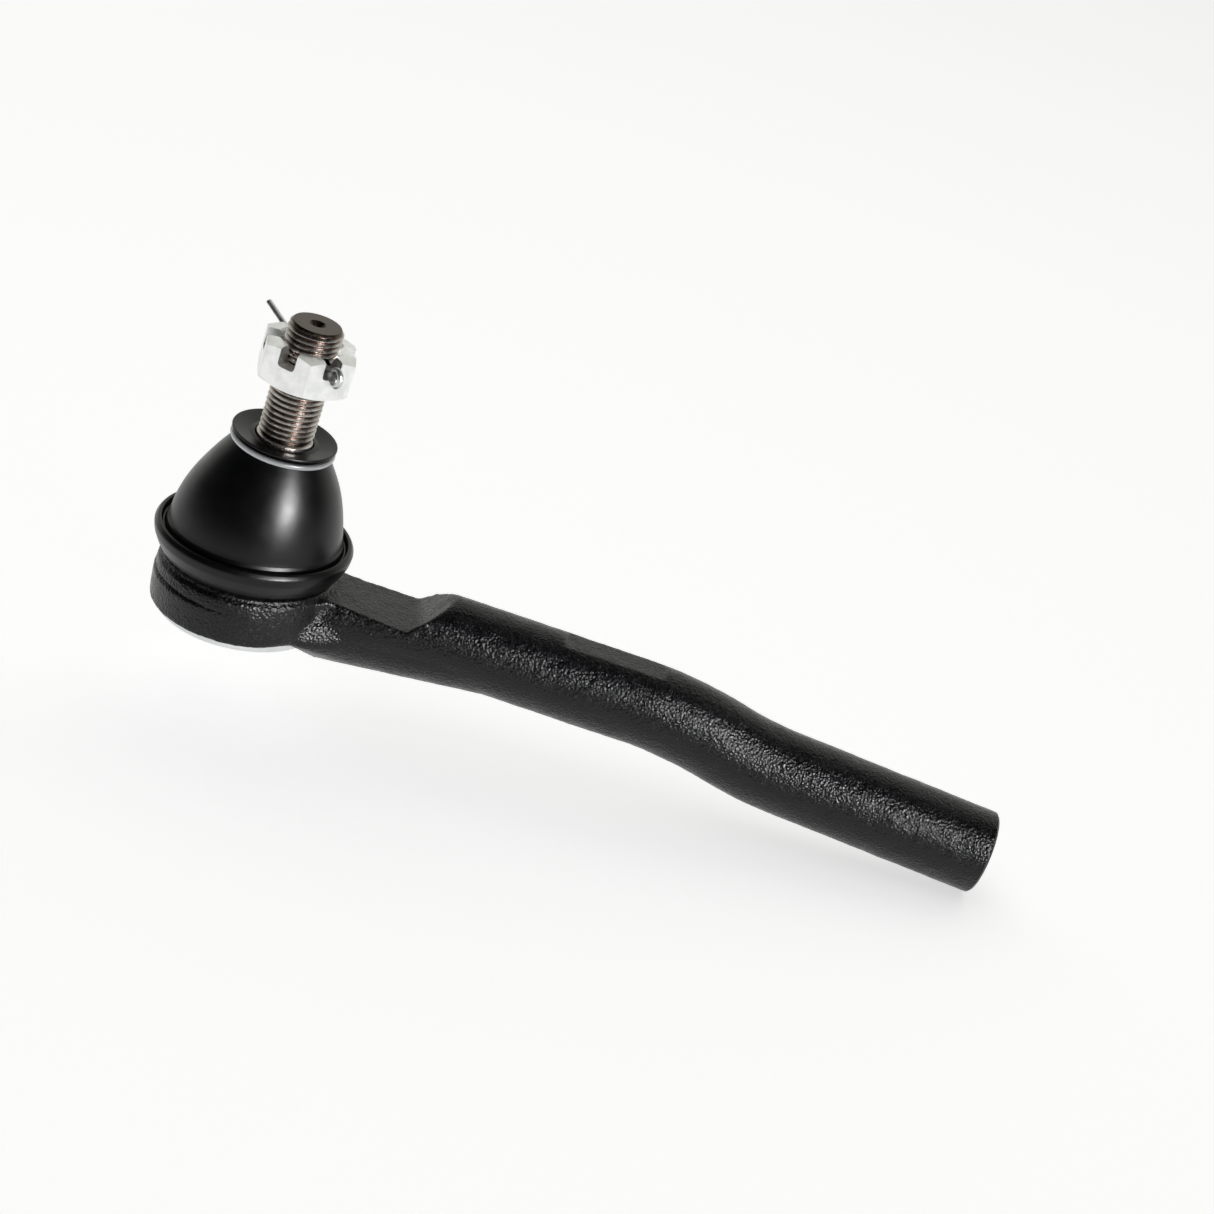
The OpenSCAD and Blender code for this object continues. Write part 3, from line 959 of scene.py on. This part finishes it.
def slot_cutter(width, depth, turn):
    """A straight cutter across the nut's top, round at the bottom like a milled slot."""
    corner = 1.1
    low, high, half, reach = NUT_H - depth, NUT_H + 1, width / 2, 15
    section = rounded([(-half, high, 0), (-half, low, corner), (half, low, corner), (half, high, 0)])
    points = [(x, y, z) for x in (-reach, reach) for y, z in section]
    return make("slot", points, prism_faces(len(section)), NUT_PLACE @ Matrix.Rotation(turn, 4, "Z"))


def castle_nut():
    """A hexagon nut, chamfered at both ends, with three cuts that make its six slots."""
    corner_r = NUT_FLATS / 2 / math.cos(math.pi / 6)
    hexagon = [
        (corner_r * math.cos(t), corner_r * math.sin(t))
        for t in (math.pi / 6 + k * math.pi / 3 for k in range(6))
    ]
    nut = prism("castle_nut", hexagon, 0, NUT_H, NUT_PLACE)
    face_r = NUT_FLATS / 2 - 0.25
    cone = lathe("cone", [
        (0, 0), (face_r, 0), (corner_r + 0.2, 0.85), (corner_r + 0.2, NUT_H - 1.0),
        (face_r - 0.2, NUT_H), (0, NUT_H),
    ], NUT_PLACE)
    combine(nut, cone, "INTERSECT")
    for k in range(3):
        combine(nut, slot_cutter(SLOT_W, SLOT_DEPTH, k * math.pi / 3))
    core_r = STUD_THREAD_R - 0.55
    mouth = STUD_THREAD_R + 0.75
    bore = lathe("bore", [
        (0, -0.1), (mouth, -0.1), (core_r + 0.3, 0.9), (core_r + 0.3, NUT_H - 2.2),
        (mouth + 0.5, NUT_H + 0.1), (0, NUT_H + 0.1),
    ], NUT_PLACE)
    combine(nut, bore)
    bevelled(nut, 0.16)
    return settle(nut, 30)


def cotter_path():
    """One wire: the short leg's tip, through the hole, round the eye and back to the long tip."""
    leg = 0.37
    eye_r, eye_x = 1.9, 11.3
    lower_bend, lower_tail, lower_turn = -10.6, 4.7, math.radians(76)
    upper_bend, upper_tail, upper_turn = -8.5, 10.6, math.radians(11)
    lower = rounded([
        (lower_bend - lower_tail * math.cos(lower_turn), -leg - lower_tail * math.sin(lower_turn), 0),
        (lower_bend, -leg, 1.6), (eye_x - eye_r - 1.2, -leg, 0),
    ], closed=False)
    neck = math.radians(28)
    turns = np.linspace(-math.pi + neck, math.pi - neck, 32)
    eye = [(eye_x + eye_r * math.cos(t), eye_r * math.sin(t)) for t in turns]
    upper = rounded([
        (eye_x - eye_r - 1.2, leg, 0), (upper_bend, leg, 6),
        (upper_bend - upper_tail * math.cos(upper_turn), leg + upper_tail * math.sin(upper_turn), 0),
    ], closed=False)
    return [(x, 0, z) for x, z in [*lower, *eye, *upper]]


def cotter_pin():
    """Half-round wire, its flat side turned to the pin's own middle."""
    offset = 0.32
    turns = np.linspace(0, math.pi, 12)
    section = [(PIN_WIRE_R * math.cos(t), -(PIN_WIRE_R * math.sin(t) - offset)) for t in turns]
    place = NUT_PLACE @ Matrix.Translation((0, 0, PIN_HEIGHT - NUT_SEAT))
    pin = sweep("cotter_pin", cotter_path(), section, (0, 0, 1), place)
    return settle(pin, 40)


# Cover, spring and seats ----------------------------------------------------------------------


def end_cover():
    """A dished plate with a short spigot, which closes the chamber from below."""
    low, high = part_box("end_cover")
    plate_r, base, top = high.x / MM, low.z / MM, high.z / MM
    thick, dish, dish_r = 2.2, 2.5, 12
    rim_top = base + dish + thick
    spigot_r, bore_r = CHAMBER_R + 1.55, CHAMBER_R - 0.6
    outline = rounded([
        (0, base, 0), (dish_r - 1, base, 1.2), (dish_r + 1.4, base + dish, 1.0),
        (plate_r - 0.1, base + dish, 0.7), (plate_r, rim_top - 0.1, 0.1), (plate_r - 0.1, rim_top, 0.1),
        (spigot_r, rim_top, 0.2), (spigot_r, top, 0.2), (bore_r, top, 0.2),
        (bore_r, rim_top, 0.2), (dish_r - 0.6, rim_top, 0.8), (dish_r - 2, base + thick, 0.8),
        (0, base + thick, 0),
    ], closed=False)
    return settle(lathe("end_cover", outline), 35)


def preload_spring():
    """A conical spring, as wide and as high as the CAD says."""
    low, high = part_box("preload_spring")
    wire_r, wide_r, narrow_r, turns = 0.7, 9.2, 7, 2.5
    steps = int(turns * 60)
    start, end = low.z / MM + wire_r, high.z / MM - wire_r
    path = []
    for i in range(steps + 1):
        u = i / steps
        r = wide_r + (narrow_r - wide_r) * u
        a = TAU * turns * u
        path.append((r * math.cos(a), r * math.sin(a), start + (end - start) * u))
    return settle(sweep("preload_spring", path, circle(wire_r, 16), (0, 0, 1)), 50)


# The object -----------------------------------------------------------------------------------

dress(housing(), "head", forged_paint(), "painted_forging", "housing")
boot()
lower_ring = wire_ring("boot_lower_ring", GROOVE_R, LOWER_WIRE_R, GROOVE_S + LOWER_WIRE_R, ON_BALL)
dress(lower_ring, "head", dark_wire(), "dark_wire", "boot_lower_ring")
upper_ring = wire_ring("boot_upper_ring", UPPER_RING_R, UPPER_WIRE_R, DOME_TO + 0.75, ON_STUD)
dress(upper_ring, "collar", pale_ring(), "pale_ring", "boot_upper_ring")
dress(ball_stud(), "stud", stud_steel(), "stud_steel", "ball_stud")
dress(castle_nut(), "stud", zinc_plate(), "zinc_plate", "castle_nut")
dress(cotter_pin(), "stud", pin_wire(), "pin_wire", "cotter_pin")
dress(end_cover(), "head", plated_cover(), "plated_cover", "end_cover")
dress(preload_spring(), "head", spring_steel(), "spring_steel", "preload_spring")
plastic = seat_plastic()
for name in ("upper_seat", "lower_seat"):
    frame["nodes"][name].data.materials.clear()
    frame["nodes"][name].data.materials.append(plastic)

# Stage, lights and camera ---------------------------------------------------------------------


def floor():
    """A wide pale floor just under the object's lowest point."""
    lowest = cad_box[0].z / MM - 0.05
    side = 6000
    corners = [(x, y, lowest) for x, y in ((-side, -side), (side, -side), (side, side), (-side, side))]
    obj = settle(make("floor", corners, [[0, 1, 2, 3]]), 0)
    n = Nodes("floor_white", Metallic=0.0, Roughness=0.9, Specular_IOR_Level=0.1)
    n.shader.inputs["Base Color"].default_value = (0.86, 0.86, 0.86, 1)
    n.shader.inputs["Emission Color"].default_value = (1, 1, 1, 1)
    n.shader.inputs["Emission Strength"].default_value = 0.64
    obj.data.materials.append(n.material)


def soft_light(name, azimuth, elevation, distance, width, height, power, spread, rays):
    """A soft box that faces the boot; azimuth 0 is in front and 90 towards the tube's end."""
    a, e = math.radians(azimuth), math.radians(elevation)
    back = Vector((math.sin(a) * math.cos(e), -math.cos(a) * math.cos(e), math.sin(e)))
    data = bpy.data.lights.new(name, "AREA")
    data.shape = "RECTANGLE"
    data.size, data.size_y = width, height
    data.energy = power
    data.spread = math.radians(spread)
    obj = bpy.data.objects.new(name, data)
    obj.location = BALL_CENTRE * MM + back * distance
    obj.rotation_mode = "QUATERNION"
    obj.rotation_quaternion = (-back).to_track_quat("-Z", "Y")
    obj.visible_glossy = rays == "glossy"
    obj.visible_diffuse = rays == "diffuse"
    bpy.context.scene.collection.objects.link(obj)


def dim_room():
    """A dark room whose far side, behind the object, is pale."""
    dark, pale = (0.015, 0.015, 0.016, 1), (0.76, 0.77, 0.72, 1)
    world = bpy.data.worlds.new("room")
    bpy.context.scene.world = world
    world.use_nodes = True
    tree = world.node_tree
    background = tree.nodes["Background"]
    place = tree.nodes.new("ShaderNodeTexCoord")
    split = tree.nodes.new("ShaderNodeSeparateXYZ")
    tree.links.new(place.outputs["Generated"], split.inputs["Vector"])
    behind = tree.nodes.new("ShaderNodeMapRange")
    behind.interpolation_type = "SMOOTHSTEP"
    for key, value in (("From Min", 0.25), ("From Max", 0.6)):
        behind.inputs[key].default_value = value
    tree.links.new(split.outputs["Y"], behind.inputs["Value"])
    shade = tree.nodes.new("ShaderNodeMix")
    shade.data_type = "RGBA"
    shade.inputs[6].default_value = dark
    shade.inputs[7].default_value = pale
    tree.links.new(behind.outputs["Result"], shade.inputs["Factor"])
    tree.links.new(shade.outputs[2], background.inputs["Color"])


def camera():
    """The camera, by its angles, the point that it looks at and its distance."""
    azimuth, elevation, roll = math.radians(-0.83), math.radians(25.86), math.radians(15.48)
    target = Vector((77.74, 1.16, 26.21)) * MM
    distance = 0.563
    back = Vector((
        math.sin(azimuth) * math.cos(elevation),
        -math.cos(azimuth) * math.cos(elevation),
        math.sin(elevation),
    ))
    level = Vector((math.cos(azimuth), math.sin(azimuth), 0))
    upright = back.cross(level)
    right = level * math.cos(roll) + upright * math.sin(roll)
    up = back.cross(right)
    turn = Matrix((right, up, back)).transposed().to_4x4()
    data = bpy.data.cameras.new("camera")
    data.sensor_width = 36
    data.lens = 77.1
    data.clip_start, data.clip_end = 0.01, 50
    obj = bpy.data.objects.new("camera", data)
    obj.matrix_world = Matrix.Translation(target + back * distance) @ turn
    bpy.context.scene.collection.objects.link(obj)
    bpy.context.scene.camera = obj


floor()
dim_room()
soft_light("key", 46, 22, 0.62, 0.42, 0.2, 0.58, 26, "glossy")
soft_light("overhead", 0, 88, 1.2, 1.6, 1.6, 4.5, 180, "diffuse")
camera()
bpy.context.scene.view_settings.view_transform = "Standard"
